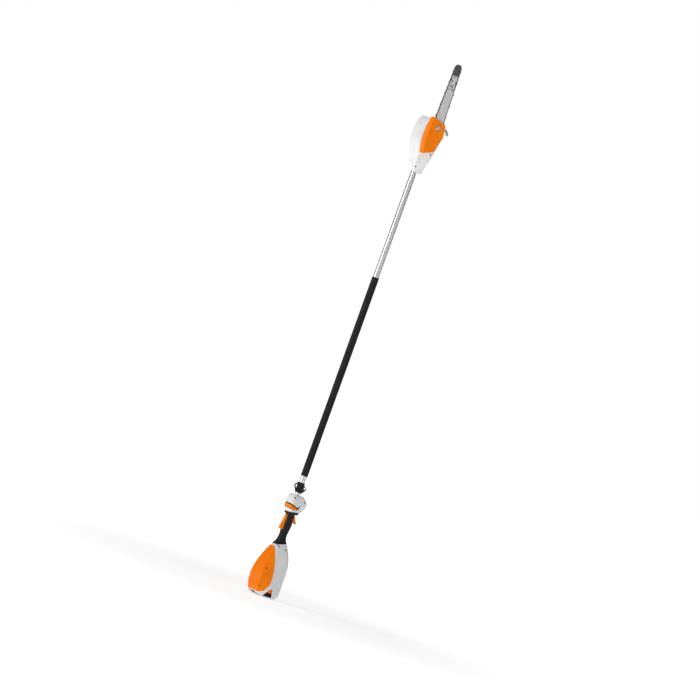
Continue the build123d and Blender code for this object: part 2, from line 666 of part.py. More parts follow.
def hook_blank():
    """The branch hook: out from the head's underside, then back towards the operator."""
    points = [
        (26, 2113), (26, 2125), (56, 2125), (70, 2117),
        (77, 2101.5), (70, 2098), (62.5, 2110), (52, 2114),
    ]  # fmt: skip
    return side_plate(points, [1, 1, 7, 8, 2, 3, 5, 6], *HOOK_X)


def cover_face(x, bevelled):
    """The sprocket cover's outline at one X; the bevelled one stands out further on the -Y side."""
    out = 8.5 if bevelled else 0.0
    points = [
        (-36 - out * 0.2, 1995), (-41 - out, 2052), (-42 - out, 2105), (-39.5 - out * 0.7, 2150), (-33, 2157),
        (9, 2144), (32, 2138), (40, 2088), (21, 2017), (-7, 2006),
    ]  # fmt: skip
    return Plane.YZ.offset(x) * outline(points, [3, 30, 30, 3, 3, 30, 5, 14, 6, 30])


def make_sprocket_cover():
    cover = loft([cover_face(HEAD_SIDE_X, True), cover_face(COVER_FACE_X, False)])
    hollow = [(-33, 2004), (-37.5, 2052), (-38.5, 2105), (-36, 2144), (-31, 2151), (8, 2139.5), (29, 2134.5),
              (36.3, 2088), (18, 2021.5), (-7, 2010)]  # fmt: skip
    cavity = side_plate(hollow, [3, 20, 20, 3, 3, 20, 4, 12, 5, 20], HEAD_SIDE_X - 1, COVER_FACE_X - 2.6)
    cover -= cavity
    # The bar and chain leave through the end.
    cover -= box_between((HEAD_SIDE_X - 1, -31, 2120), (BAR_X + 4.8, 30.5, 2170))
    # A round seat for the nut, with a pad behind it that presses on the bar.
    pad = rod((BAR_X + BAR_THICKNESS / 2 + 0.2, 0, STUD_Z), (COVER_FACE_X - 1, 0, STUD_Z), 13.5)
    cover += pad
    cover -= rod((COVER_FACE_X - 6.0, 0, STUD_Z), (COVER_FACE_X + 5, 0, STUD_Z), 12.0)
    cover -= rod((BAR_X, 0, STUD_Z), (COVER_FACE_X, 0, STUD_Z), STUD_RADIUS + 0.4)
    write("sprocket_cover", largest(soften_outer_rim(cover)))


def soften_outer_rim(cover):
    """Rounds the rim of the cover's outermost face."""
    rim = cover.faces().filter_by(Axis.X).sort_by(Axis.X)[-1].outer_wire().edges()
    return fillet(rim, 1.4)


# ---- Guide bar and chain ----
def belt(grow, lower_circles):
    """The convex outline round the bar's nose, its belly and some lower circles, grown by an offset."""
    circles = [Pos(0, NOSE_Z) * Circle(NOSE_RADIUS + grow)]
    for side in (-1, 1):
        centre_y = side * (BAR_HALF_WIDTH - BELLY_RADIUS)
        circles.append(Pos(centre_y, BELLY_Z) * Circle(BELLY_RADIUS + grow))
    circles.extend(lower_circles)
    return make_hull([circle.edge() for circle in circles])


def bar_profile(grow):
    """The bar's own outline; its heel is square with round corners."""
    heel = [Pos(side * 10, BAR_HEEL_Z) * Circle(6.0 + grow) for side in (-1, 1)]
    return belt(grow, heel)


def chain_path():
    """The closed line through the chain's rivets: round the nose, along the rails and round the sprocket."""
    sprocket = Pos(0, SPROCKET_Z) * Circle(SPROCKET_PITCH_RADIUS)
    return belt(RIVET_ABOVE_RAIL, [sprocket]).face().outer_wire()


def across_bar(face, x_low, x_high):
    """A face drawn in (y, z) pushed along X."""
    return extrude(Plane.YZ.offset(x_low) * face, amount=x_high - x_low)


def star_outline(teeth, core_radius, tip_radius, foot, tip):
    """A chain sprocket's outline: a round core with straight teeth, given by their half widths."""
    star = Sketch() + Circle(core_radius)
    tooth_line = Polyline((5, -foot), (tip_radius, -tip), (tip_radius, tip), (5, foot), close=True)
    for tooth in range(teeth):
        star += Rot(0, 0, 360 * tooth / teeth) * make_face(tooth_line)
    return star


def make_guide_bar():
    half = BAR_THICKNESS / 2
    bar = across_bar(bar_profile(0.0), BAR_X - half, BAR_X + half)
    rim = bar_profile(0.0) - bar_profile(-5.0)
    bar -= across_bar(rim, BAR_X - BAR_GROOVE / 2, BAR_X + BAR_GROOVE / 2)
    # The pocket for the nose sprocket, round a fixed hub.
    pocket = Pos(0, NOSE_Z) * (Circle(NOSE_RADIUS - 0.5) - Circle(NOSE_HUB_RADIUS))
    bar -= across_bar(pocket, BAR_X - BAR_GROOVE / 2, BAR_X + BAR_GROOVE / 2)
    # The slot for the stud lets the bar move to tension the chain.
    slot_low = STUD_Z - STUD_RADIUS - 0.3
    slot_high = STUD_Z + STUD_RADIUS + TENSION_TRAVEL + 0.6
    slot = Pos(0, (slot_low + slot_high) / 2) * Rectangle(2 * STUD_RADIUS + 0.3, slot_high - slot_low)
    slot = fillet(slot.vertices(), STUD_RADIUS)
    bar -= across_bar(slot, BAR_X - 3, BAR_X + 3)
    bar -= rod((BAR_X - 3, TENSIONER_Y, TENSIONER_PIN_Z), (BAR_X + 3, TENSIONER_Y, TENSIONER_PIN_Z), 1.8)
    write("guide_bar", bar)

    star = star_outline(NOSE_TEETH, NOSE_SPROCKET_RADIUS - 3.2, NOSE_SPROCKET_RADIUS, 2.4, 0.8)
    star -= Circle(NOSE_HUB_RADIUS + 0.1)
    write("nose_sprocket", across_bar(Pos(0, NOSE_Z) * star, BAR_X - 0.55, BAR_X + 0.55))


class Chain:
    """Places links along the chain's closed path; a link's own x runs along the chain and y outwards."""

    def __init__(self):
        self.path = chain_path()
        self.links = round(self.path.length / CHAIN_PITCH)
        self.spacing = self.path.length / (2 * self.links)

    def rivet(self, number):
        distance = (number % (2 * self.links)) * self.spacing
        point = self.path.position_at(distance, position_mode=PositionMode.LENGTH)
        return Vector(BAR_X, point.X, point.Y)

    def place(self, number):
        """The plane between rivet number and the next."""
        first, second = self.rivet(number), self.rivet(number + 1)
        along = (second - first).normalized()
        middle = (first + second) * 0.5
        outward = along.cross(Vector(1, 0, 0))
        centre = Vector(BAR_X, 0, (NOSE_Z + SPROCKET_Z) / 2)
        facing = 1 if outward.dot(middle - self.nearest_core(middle, centre)) > 0 else -1
        return Plane(origin=middle, x_dir=along * facing, z_dir=Vector(-1, 0, 0))

    def nearest_core(self, point, centre):
        """The point of the bar's centre line beside a link."""
        height = min(max(point.Z, SPROCKET_Z), NOSE_Z)
        return Vector(centre.X, 0, height)


def rivet_holes(spacing, radius):
    return sum((Pos(side * spacing / 2, 0) * Circle(radius) for side in (-1, 1)), Sketch())


def make_chain():
    """The saw chain: drive links, and between them riveted pairs of tie straps or a cutter and a strap."""
    chain = Chain()
    spacing = chain.spacing
    ends = SlotCenterToCenter(spacing, STRAP_HEIGHT)
    tang = outline([(-3.4, 0), (3.4, 0), (2.4, -2.0), (0.9, -TANG_DEPTH), (-0.5, -TANG_DEPTH), (-2.6, -2.0)],
                   [0, 0, 1, 0.5, 0.5, 1])  # fmt: skip
    drive_face = ends + tang - rivet_holes(spacing, RIVET_HOLE_RADIUS)
    cutter_points = [(-5.6, -2.1), (5.6, -2.1), (5.7, 1.0), (4.9, 3.3), (3.1, 3.3), (2.3, 1.2), (1.2, 1.2),
                     (0.4, 3.9), (-5.4, 3.3), (-5.9, 1.0)]  # fmt: skip
    cutter_face = outline(cutter_points, [0.8, 0.8, 1, 1, 0.8, 0.6, 0.6, 0, 0.4, 1])
    drives, straps, cutters = [], [], []
    for link in range(chain.links):
        drives.append(extrude(chain.place(2 * link) * drive_face, amount=0.65, both=True))
        plane = chain.place(2 * link + 1)
        pair = extrude(plane * rivet_holes(spacing, RIVET_RADIUS), amount=STRAP_X[1] + 0.25, both=True)
        cutter_side = 0 if link % 2 else (1 if link % 4 else -1)
        for side in (-1, 1):
            plate_plane = plane.offset(STRAP_X[0] if side > 0 else -STRAP_X[1])
            face = cutter_face if side == cutter_side else ends
            pair += extrude(plate_plane * face, amount=STRAP_X[1] - STRAP_X[0])
        if cutter_side:
            blade = Pos(-2.55, 3.3, cutter_side * 1.9) * Box(5.4, 0.9, 2.3)
            cutters.append(pair + plane.location * Rot(0, 0, 5) * blade)
        else:
            straps.append(pair)
    write("chain_drive_links", group(drives))
    write("chain_tie_straps", group(straps))
    write("chain_cutters", group(cutters))


# ---- Tensioner, stud, nut, catcher and hook ----
def make_bar_fittings():
    write("bar_stud", rod((GEAR_CASE_X[1] - 4, 0, STUD_Z), (COVER_FACE_X + 3.5, 0, STUD_Z), STUD_RADIUS))
    nut = rod((COVER_FACE_X - 5.8, 0, STUD_Z), (COVER_FACE_X - 4.0, 0, STUD_Z), 11.0)
    hexagon = Plane(origin=(COVER_FACE_X - 4.0, 0, STUD_Z), z_dir=(1, 0, 0)) * RegularPolygon(8.6, 6)
    crown = extrude(hexagon, amount=8.5)
    crown &= rod((COVER_FACE_X - 6, 0, STUD_Z), (COVER_FACE_X + 4.5, 0, STUD_Z), 8.4)
    nut = nut + crown - rod((COVER_FACE_X - 8, 0, STUD_Z), (COVER_FACE_X + 10, 0, STUD_Z), STUD_RADIUS + FIT)
    write("bar_nut", nut)

    # The tensioner: a screw along the shaft's direction drives a small block, whose pin moves the bar.
    x, y, z = TENSIONER_X, TENSIONER_Y, TENSIONER_PIN_Z
    slider = box_between((x - 3, y - 3, z - 4), (x + 3.2, y + 3, z + 4))
    slider += rod((x, y, z), (BAR_X + 2.0, y, z), 1.75)
    write("tensioner_slider", slider - rod((x, y, z - 10), (x, y, z + 10), TENSIONER_RADIUS + FIT))
    tensioner = rod((x, y, 2092), (x, y, 2145.7), TENSIONER_RADIUS)
    tensioner += rod((x, y, 2145.7), (x, y, HEAD_TOP), 3.1)
    slot = box_between((x - 5, y - 0.6, HEAD_TOP - 1.4), (x + 5, y + 0.6, HEAD_TOP + 1))
    write("tensioner_screw", tensioner - slot)

    catcher = rod((GEAR_CASE_X[1], CATCHER_Y, CATCHER_Z), (57.5, CATCHER_Y, CATCHER_Z), CATCHER_RADIUS)
    write("chain_catcher", catcher)
    write("branch_hook", hook_blank())


# ---- Drive: motor, gears and sprocket ----
def along_x(x_low, x_high, radius, bore=0.0, y=0.0, z=0.0):
    return rod((x_low, y, z), (x_high, y, z), radius, bore)


def make_motor():
    x_low, x_high = MOTOR_X
    place = {"y": MOTOR_Y, "z": MOTOR_Z}
    stator = along_x(x_low, x_high, STATOR_RADIUS, STATOR_RADIUS - 3.5, **place)
    centre = Plane(origin=(x_low, MOTOR_Y, MOTOR_Z), x_dir=(0, 1, 0), z_dir=(1, 0, 0))
    length = x_high - x_low
    coils = []
    for tooth in range(STATOR_TEETH):
        turn = Rot(0, 0, 360 * tooth / STATOR_TEETH)
        neck = Pos((ROTOR_RADIUS + 0.6 + STATOR_RADIUS - 3) / 2, 0, length / 2)
        neck_length = STATOR_RADIUS - 3 - ROTOR_RADIUS - 0.6
        stator += centre * turn * neck * Box(neck_length, 3.2, length)
        coil = Pos(ROTOR_RADIUS + 3.6, 0, length / 2) * (Box(4.6, 7.6, length + 4) - Box(6, 3.2, length))
        coils.append(centre * turn * coil)
    stator += along_x(x_low, x_high, ROTOR_RADIUS + 2.0, ROTOR_RADIUS + 0.5, **place)
    stator = stator - group(coils)
    write("motor_stator", largest(stator))
    bore = along_x(x_low, x_high, ROTOR_RADIUS + 0.5, **place)
    write("motor_windings", group([coil - bore for coil in coils]))
    write("motor_rotor", along_x(x_low + 1, x_high - 1, ROTOR_RADIUS, MOTOR_SHAFT_RADIUS, **place))
    cap = along_x(-31.0, -28.0, STATOR_RADIUS, **place) + along_x(-28.0, x_low, STATOR_RADIUS, 21.0, **place)
    cap -= along_x(-34.5, -28.0, 5.5, **place)
    write("motor_end_cap", cap)
    bearings.append(along_x(-31.0, -28.0, 5.5, MOTOR_SHAFT_RADIUS, **place))
    bearings.append(along_x(6.5, 11.5, BEARING_RADIUS, MOTOR_SHAFT_RADIUS, **place))
    direction = degrees(atan2(-MOTOR_DROP, MOTOR_Y))
    half_tooth = 180 / PINION_TEETH
    pinion_face = gear_outline(PINION_TEETH, GEAR_MODULE, direction + 180 + half_tooth)
    pinion = extrude(Plane.YZ.offset(15.0) * Pos(MOTOR_Y, MOTOR_Z) * pinion_face, amount=10.0)
    write("pinion_shaft", pinion + along_x(-33.0, 27.0, MOTOR_SHAFT_RADIUS, **place))
    gear_face = gear_outline(GEAR_TEETH, GEAR_MODULE, direction)
    gear = extrude(Plane.YZ.offset(16.0) * Pos(0, SPROCKET_Z) * gear_face, amount=8.0)
    for hole in range(5):
        angle = 2 * pi * hole / 5
        gear -= along_x(10, 30, 3.6, y=12.0 * cos(angle), z=SPROCKET_Z + 12.0 * sin(angle))
    write("spur_gear", gear - along_x(10, 30, OUTPUT_SHAFT_RADIUS, z=SPROCKET_Z))


def make_output():
    shaft = along_x(6.5, 56.4, OUTPUT_SHAFT_RADIUS, z=SPROCKET_Z)
    shaft -= along_x(54.4, 55.4, 4.5, 3.2, z=SPROCKET_Z)
    write("output_shaft", shaft)
    bearings.append(along_x(6.5, 11.5, BEARING_RADIUS, OUTPUT_SHAFT_RADIUS, z=SPROCKET_Z))
    bearings.append(along_x(34.5, 39.5, BEARING_RADIUS + 1, OUTPUT_SHAFT_RADIUS, z=SPROCKET_Z))
    star = star_outline(SPROCKET_TEETH, 8.0, DRIVE_SPROCKET_RADIUS, 2.6, 1.0)
    sprocket = across_bar(Pos(0, SPROCKET_Z) * star, 45.6, 54.2)
    write("drive_sprocket", sprocket - along_x(40, 60, OUTPUT_SHAFT_RADIUS, z=SPROCKET_Z))
    clip = along_x(54.45, 55.35, 6.5, 3.2, z=SPROCKET_Z)
    write("sprocket_clip", clip - box_between((50, -1.6, SPROCKET_Z - 10), (60, 1.6, SPROCKET_Z)))


def make_gear_frames():
    x_low, x_high = CARRIER_X
    carrier = hull_plate([(MOTOR_Y, MOTOR_Z, 26.0), (0, SPROCKET_Z, 14.0), (14, 2090, 7.0)], x_low, x_high)
    carrier += along_x(MOTOR_X[1], x_low, STATOR_RADIUS, 21.0, y=MOTOR_Y, z=MOTOR_Z)
    carrier -= along_x(x_low, 11.5, BEARING_RADIUS, y=MOTOR_Y, z=MOTOR_Z)
    carrier -= along_x(0, 14, 4.0, y=MOTOR_Y, z=MOTOR_Z)
    carrier -= along_x(6.5, 11.5, BEARING_RADIUS, z=SPROCKET_Z) + along_x(11, 14, 6.0, z=SPROCKET_Z)
    posts = ((-20, 2004.5), (20, 2034), (14, 2090))
    bolt_radius = 1.6
    bolts = []
    case_low, case_high = GEAR_CASE_X
    case_corners = [(-20, 2008, 8.0), (20, 2034, 8.0), (14, 2122, 9.0), (-8, 2128, 9.0)]
    case = hull_plate(case_corners, case_low, case_high)
    case -= along_x(34.5, 39.5, BEARING_RADIUS + 1, z=SPROCKET_Z) + along_x(30, 45, 6.5, z=SPROCKET_Z)
    case -= along_x(GEAR_CASE_X[1] - 4, 45, STUD_RADIUS, z=STUD_Z)
    case -= box_between((TENSIONER_X - 4, TENSIONER_Y - 4.2, 2088), (45, TENSIONER_Y + 4.2, 2150))
    for y, z in posts:
        carrier += along_x(x_high, case_low, 4.5, y=y, z=z)
        space = along_x(x_low - 3, case_high + 2, bolt_radius, y=y, z=z)
        carrier -= space
        case -= space
        bolt = along_x(x_low - 3, case_high, bolt_radius, y=y, z=z)
        bolts.append(bolt + along_x(x_low - 3, x_low, 3.0, y=y, z=z))
    write("gear_carrier", largest(carrier))
    write("gear_case", largest(case))
    write("frame_bolts", group(bolts))


def hull_plate(circles, x_low, x_high):
    """A plate round several circles, given as y, z and radius."""
    edges = [(Pos(y, z) * Circle(radius)).edge() for y, z, radius in circles]
    return across_bar(make_hull(edges), x_low, x_high)


# ---- Oil system ----
def make_oil_system():
    tank = box_between((-26, -30, 2088), (2, 30, 2136))
    tank = fillet(tank.edges(), 4.0)
    inner = fillet(box_between((-24.2, -28.2, 2089.8), (0.2, 28.2, 2134.2)).edges(), 3.0)
    tank += along_x(-36.5, -25, 9.5, y=CAP_Y, z=CAP_Z)
    tank -= inner
    tank -= along_x(-37, -20, 7.6, y=CAP_Y, z=CAP_Z)
    tank -= rod((-6, 16, 2084), (-6, 16, 2091), 1.6)
    write("oil_tank", tank)
    cap = along_x(-42.5, -37.0, 11.8, y=CAP_Y, z=CAP_Z)
    cap = fillet(cap.edges().sort_by(Axis.X)[0], 1.2)
    cap += along_x(-37.0, -30, 7.3, y=CAP_Y, z=CAP_Z)
    cap -= box_between((-44, CAP_Y - 9, CAP_Z - 4.4), (-39.2, CAP_Y + 9, CAP_Z - 1.2))
    cap -= box_between((-44, CAP_Y - 9, CAP_Z + 1.2), (-39.2, CAP_Y + 9, CAP_Z + 4.4))
    write("oil_cap", cap)
    pump = box_between((14, 17, 2096), (30, 31, 2112)) - along_x(10, 16, 1.6, y=24, z=2104)
    write("oil_pump", pump)
    hose_points = [
        (-6, 16, 2087.5), (-6, 16, 2079), (-6, 26, 2079),
        (8, 26, 2090), (8, 24, 2104), (14, 24, 2104),
    ]  # fmt: skip
    hose_line = FilletPolyline(*hose_points, radius=3.0)
    hose = sweep(Plane(origin=hose_points[0], z_dir=(0, 0, -1)) * Circle(1.6), path=hose_line)
    write("oil_hose", hose)


make_battery_housing()
make_battery_bay()
make_latches()
make_battery()
make_terminals()
make_handle()
make_trigger()
make_lock_lever()
make_switch()
make_control_head()
make_shaft()
make_strap_ring()
make_head_housing()
make_sprocket_cover()
make_guide_bar()
make_chain()
make_bar_fittings()
make_motor()
make_output()
make_gear_frames()
make_oil_system()
write("case_screws", group(case_screws))
write("lever_pins", group(lever_pins))
write("lever_springs", group(lever_springs))
write("bearings", group(bearings))
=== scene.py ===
"""The looks of the battery pole pruner, in metres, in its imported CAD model's own frame."""

import json
from math import cos, radians, sin

import bpy
from mathutils import Matrix, Vector

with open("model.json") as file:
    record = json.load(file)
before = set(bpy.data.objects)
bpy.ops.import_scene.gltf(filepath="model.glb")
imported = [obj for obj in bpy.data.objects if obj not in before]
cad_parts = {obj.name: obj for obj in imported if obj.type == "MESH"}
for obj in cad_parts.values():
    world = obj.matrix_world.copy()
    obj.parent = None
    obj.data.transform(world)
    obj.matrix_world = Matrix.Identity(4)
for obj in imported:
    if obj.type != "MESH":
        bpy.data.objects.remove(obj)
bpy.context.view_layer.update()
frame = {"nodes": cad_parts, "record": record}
MM = 0.001

# ---- View ----
VIEW_AZIMUTH = radians(55.0)
VIEW_ELEVATION = radians(1.0)
POLE_LEAN = radians(19.83)  # the pole leans to the right in the picture
LENS_MM = 300.0
SENSOR_MM = 36.0
PICTURE_SIDE = 2.968  # metres seen across the picture at the pole
POLE_IN_VIEW = (0.0016, 1.108)  # where the view's centre lies: across the pole, and up it

# ---- Light ----
STUDIO_TURN = -40.0  # the studio's bright side, in degrees from the view
STUDIO_RISE = 10.0
STUDIO_DIM = 0.06  # the studio's strength on its dark side
STUDIO_BRIGHT = 0.30  # and on its bright side
FLOOR_REACH = 30.0  # from the object to each edge
FLOOR_DROP = 0.5 * MM  # the floor lies this far under the object
FLOOR_GLOW = (0.52, 0.92)  # near the object, and far off
FLOOR_GLOW_AT = (0.5, 2.5)  # metres from the object
MIDDLE = (0, 0, 1.2)  # of the object
LOW_TARGET = (0, 0, 0.5)  # what the key and fill lights point at
SIDE_LIGHT_DISTANCE = 6.0
TOP_LIGHT_DISTANCE = 8.0

# ---- Finish ----
SOFT_SPECULAR = 0.2  # of black plastic, rubber and the guide bar
LOW_SPECULAR = 0.07  # of the orange plastic
PLASTIC_IOR = 1.49
BAR_PRINT_Z = (2287 * MM, 2346 * MM)  # the printed patch on the guide bar
BAR_NOSE_Z = (2344 * MM, 2353 * MM)  # where the bar's steel turns dark towards its nose
BAR_METALLIC = 0.55
NOSE_LESS_METALLIC = 0.35


# ---- Material helpers ----
class Nodes:
    """A new material and short ways to add nodes to it."""

    def __init__(self, name):
        self.material = bpy.data.materials.new(name)
        self.material.use_nodes = True
        self.tree = self.material.node_tree
        self.shader = self.tree.nodes["Principled BSDF"]
        self.place = self.add("ShaderNodeTexCoord").outputs["Object"]

    def add(self, kind, **settings):
        node = self.tree.nodes.new(kind)
        for key, value in settings.items():
            setattr(node, key, value)
        return node

    def link(self, source, target):
        self.tree.links.new(source, target)

    def constant(self, **values):
        """Sets the shader's own sockets; an underscore stands for a space in a socket's name."""
        for key, value in values.items():
            self.shader.inputs[key.replace("_", " ")].default_value = value

    def stretched_texture(self, kind, scale, stretch, **settings):
        """A texture in the object's own coordinates; a stretch below 1 draws it out along that axis."""
        mapping = self.add("ShaderNodeMapping")
        mapping.inputs["Scale"].default_value = stretch
        self.link(self.place, mapping.inputs["Vector"])
        texture = self.add(kind, **settings)
        texture.inputs["Scale"].default_value = scale
        self.link(mapping.outputs["Vector"], texture.inputs["Vector"])
        return texture

    def noise(self, scale, detail=3.0, stretch=(1, 1, 1)):
        texture = self.stretched_texture("ShaderNodeTexNoise", scale, stretch)
        texture.inputs["Detail"].default_value = detail
        return texture.outputs["Fac"]

    def cells(self, scale, feature="F1", stretch=(1, 1, 1)):
        texture = self.stretched_texture("ShaderNodeTexVoronoi", scale, stretch, feature=feature)
        return texture.outputs["Distance"]

    def ramp(self, source, *stops):
        """Maps a value to greys; the two stops are (position, grey)."""
        ramp = self.add("ShaderNodeValToRGB")
        for point, (position, grey) in zip(ramp.color_ramp.elements, stops):
            point.position = position
            point.color = (grey, grey, grey, 1)
        self.link(source, ramp.inputs["Fac"])
        return ramp.outputs["Color"]

    def mix(self, factor, first, second):
        """Blends two colours by the factor: 0 gives the first, and 1 the second."""
        mix = self.add("ShaderNodeMix", data_type="RGBA")
        sockets = (mix.inputs[0], mix.inputs[6], mix.inputs[7])
        for socket, value in zip(sockets, (factor, first, second)):
            if isinstance(value, bpy.types.NodeSocket):
                self.link(value, socket)
            elif isinstance(value, (int, float)):
                socket.default_value = value
            else:
                socket.default_value = (*value, 1)
        return mix.outputs[2]

    def math(self, operation, first, second):
        node = self.add("ShaderNodeMath", operation=operation)
        for socket, value in zip(node.inputs, (first, second)):
            if isinstance(value, bpy.types.NodeSocket):
                self.link(value, socket)
            else:
                socket.default_value = value
        return node.outputs[0]

    def axis(self, name):
        split = self.add("ShaderNodeSeparateXYZ")
        self.link(self.place, split.inputs["Vector"])
        return split.outputs[name]

    def edges(self):
        """How sharply the surface turns: above a half on worn outer edges."""
        return self.add("ShaderNodeNewGeometry").outputs["Pointiness"]

    def colour(self, socket):
        self.link(socket, self.shader.inputs["Base Color"])

    def rough(self, source, low, high):
        span = self.add("ShaderNodeMapRange")
        span.inputs["To Min"].default_value = low
        span.inputs["To Max"].default_value = high
        self.link(source, span.inputs["Value"])
        self.link(span.outputs["Result"], self.shader.inputs["Roughness"])

    def bump(self, height, strength, distance):
        bump = self.add("ShaderNodeBump")
        bump.inputs["Strength"].default_value = strength
        bump.inputs["Distance"].default_value = distance
        self.link(height, bump.inputs["Height"])
        self.link(bump.outputs["Normal"], self.shader.inputs["Normal"])


def srgb(text):
    """A colour from its #rrggbb form, as the shader's linear values."""
    values = [int(text[i : i + 2], 16) / 255 for i in (1, 3, 5)]
    return tuple(v / 12.92 if v <= 0.04045 else ((v + 0.055) / 1.055) ** 2.4 for v in values)


def moulded_plastic(name, base, dark, light, rough, grain, specular, rubbed=0.35):
    """Moulded plastic: fine grain, faint tone drift, dark specks and lighter rubbed edges."""
    n = Nodes(name)
    drift = n.noise(14.0, 4.0)
    toned = n.mix(n.ramp(drift, (0.30, 0.0), (0.75, 1.0)), srgb(base), srgb(light))
    speck = n.noise(420.0, 2.0)
    specked = n.mix(n.ramp(speck, (0.60, 0.0), (0.78, 0.35)), toned, srgb(dark))
    worn = n.mix(n.ramp(n.edges(), (0.52, 0.0), (0.62, rubbed)), specked, srgb(light))
    n.colour(worn)
    n.rough(n.noise(60.0, 5.0), *rough)
    n.bump(n.noise(2600.0, 2.0), grain, 0.00012)
    n.constant(IOR=PLASTIC_IOR, Specular_IOR_Level=specular)
    return n.material


def orange_plastic():
    colours = ("#ff7b04", "#d65c00", "#ff8a14")
    return moulded_plastic("orange_plastic", *colours, (0.30, 0.44), 0.10, LOW_SPECULAR)


def white_shell():
    colours = ("#dddddc", "#b9babb", "#ecedec")
    return moulded_plastic("white_shell", *colours, (0.36, 0.50), 0.14, 0.5)


def black_plastic():
    colours = ("#111213", "#070708", "#202124")
    return moulded_plastic("black_plastic", *colours, (0.34, 0.52), 0.30, SOFT_SPECULAR, rubbed=0.25)


def black_rubber():
    """Soft rubber: matt, with a fine pebbled skin and faint grey dust."""
    n = Nodes("black_rubber")
    dust = n.ramp(n.noise(35.0, 5.0), (0.45, 0.0), (0.80, 0.30))
    n.colour(n.mix(dust, srgb("#151516"), srgb("#303134")))
    n.rough(n.noise(90.0, 4.0), 0.48, 0.72)
    pebble = n.math("ADD", n.cells(1500.0), n.noise(3200.0))
    n.bump(pebble, 0.28, 0.0002)
    n.constant(Specular_IOR_Level=SOFT_SPECULAR)
    return n.material


def polished_aluminium():
    """The drawn and polished tube: long fine draw lines, faint handling marks."""
    n = Nodes("polished_aluminium")
    lines = n.noise(900.0, 3.0, (1, 1, 0.004))
    tone = n.mix(n.ramp(lines, (0.35, 0.0), (0.65, 1.0)), srgb("#b4b7bb"), srgb("#d9dcdf"))
    marks = n.ramp(n.noise(24.0, 6.0, (1, 1, 0.35)), (0.58, 0.0), (0.80, 0.30))
    n.colour(n.mix(marks, tone, srgb("#b3b7bb")))
    n.constant(Metallic=1.0)
    n.rough(n.noise(40.0, 6.0, (1, 1, 0.2)), 0.24, 0.36)
    n.bump(lines, 0.02, 0.00004)
    return n.material


def cast_aluminium():
    """Cast gear parts: dull and grainy."""
    n = Nodes("cast_aluminium")
    grain = n.noise(700.0, 3.0)
    n.colour(n.mix(n.noise(30.0), srgb("#8e9193"), srgb("#b1b4b6")))
    n.constant(Metallic=0.9)
    n.rough(n.noise(120.0), 0.42, 0.62)
    n.bump(grain, 0.35, 0.0002)
    return n.material


def bright_steel():
    """Turned and ground steel with short scratches and a trace of oil."""
    n = Nodes("bright_steel")
    scratches = n.noise(1200.0, 2.0, (1, 0.08, 1))
    tone = n.mix(n.noise(50.0, 5.0), srgb("#a9adb1"), srgb("#d3d6d9"))
    n.colour(n.mix(n.ramp(scratches, (0.62, 0.0), (0.72, 0.5)), tone, srgb("#f2f3f4")))
    n.constant(Metallic=1.0)
    n.rough(n.noise(90.0, 5.0), 0.20, 0.40)
    n.bump(scratches, 0.08, 0.00006)
    return n.material


def black_steel():
    """Blackened screws: dark, with a little bright wear round the socket."""
    n = Nodes("black_steel")
    dark = n.mix(n.noise(300.0, 4.0), srgb("#1c1d1f"), srgb("#303235"))
    n.colour(n.mix(n.ramp(n.edges(), (0.54, 0.0), (0.66, 0.4)), dark, srgb("#7c7f83")))
    n.constant(Metallic=0.5)
    n.rough(n.noise(200.0), 0.35, 0.50)
    n.bump(n.noise(1200.0), 0.15, 0.0001)
    return n.material


def chain_steel():
    """Oiled chain: dark, with bright worn corners."""
    n = Nodes("chain_steel")
    oil = n.mix(n.noise(180.0, 5.0), srgb("#4d5054"), srgb("#7b7e82"))
    n.colour(n.mix(n.ramp(n.edges(), (0.50, 0.0), (0.60, 0.8)), oil, srgb("#c3c6c9")))
    n.constant(Metallic=0.95)
    n.rough(n.noise(260.0, 3.0), 0.22, 0.48)
    n.bump(n.noise(1500.0), 0.12, 0.00008)
    return n.material


def grey_coating():
    """The branch hook's grey coat, slightly uneven."""
    n = Nodes("grey_coating")
    n.colour(n.mix(n.noise(60.0, 4.0), srgb("#989a9a"), srgb("#b6b8b7")))
    n.constant(Metallic=0.5)
    n.rough(n.noise(150.0), 0.35, 0.55)
    n.bump(n.noise(900.0, 3.0), 0.25, 0.00015)
    return n.material


def milky_plastic():
    """The oil tank's cloudy plastic, which lets a little light in."""
    n = Nodes("milky_plastic")
    n.colour(n.mix(n.noise(20.0, 3.0), srgb("#dedbcb"), srgb("#efece0")))
    n.constant(IOR=PLASTIC_IOR, Subsurface_Weight=0.15)
    n.rough(n.noise(80.0), 0.25, 0.42)
    n.bump(n.noise(600.0), 0.12, 0.0001)
    return n.material


def wound_copper():
    """Enamelled copper, with fine lines for the turns of wire."""
    n = Nodes("wound_copper")
    turns = n.noise(1400.0, 1.0, (0.15, 1, 1))
    n.colour(n.mix(n.ramp(turns, (0.4, 0.0), (0.6, 1.0)), srgb("#8d4f22"), srgb("#d08a4c")))
    n.constant(Metallic=0.85)
    n.rough(n.noise(200.0), 0.25, 0.45)
    n.bump(turns, 0.5, 0.0002)
    return n.material


def cell_wrap():
    """The battery cells' blue plastic sleeve."""
    n = Nodes("cell_wrap")
    n.colour(n.mix(n.noise(25.0), srgb("#2f6397"), srgb("#4b86bd")))
    n.rough(n.noise(120.0), 0.25, 0.4)
    n.bump(n.noise(500.0, 2.0, (1, 1, 0.1)), 0.15, 0.0001)
    return n.material


def circuit_board():
    """Green board with paler tracks between its cells."""
    n = Nodes("circuit_board")
    tracks = n.cells(260.0, "DISTANCE_TO_EDGE")
    n.colour(n.mix(n.ramp(tracks, (0.04, 0.0), (0.08, 1.0)), srgb("#6f8f4b"), srgb("#1f4a2c")))
    n.rough(n.noise(90.0), 0.3, 0.5)
    n.bump(tracks, 0.2, 0.0001)
    return n.material


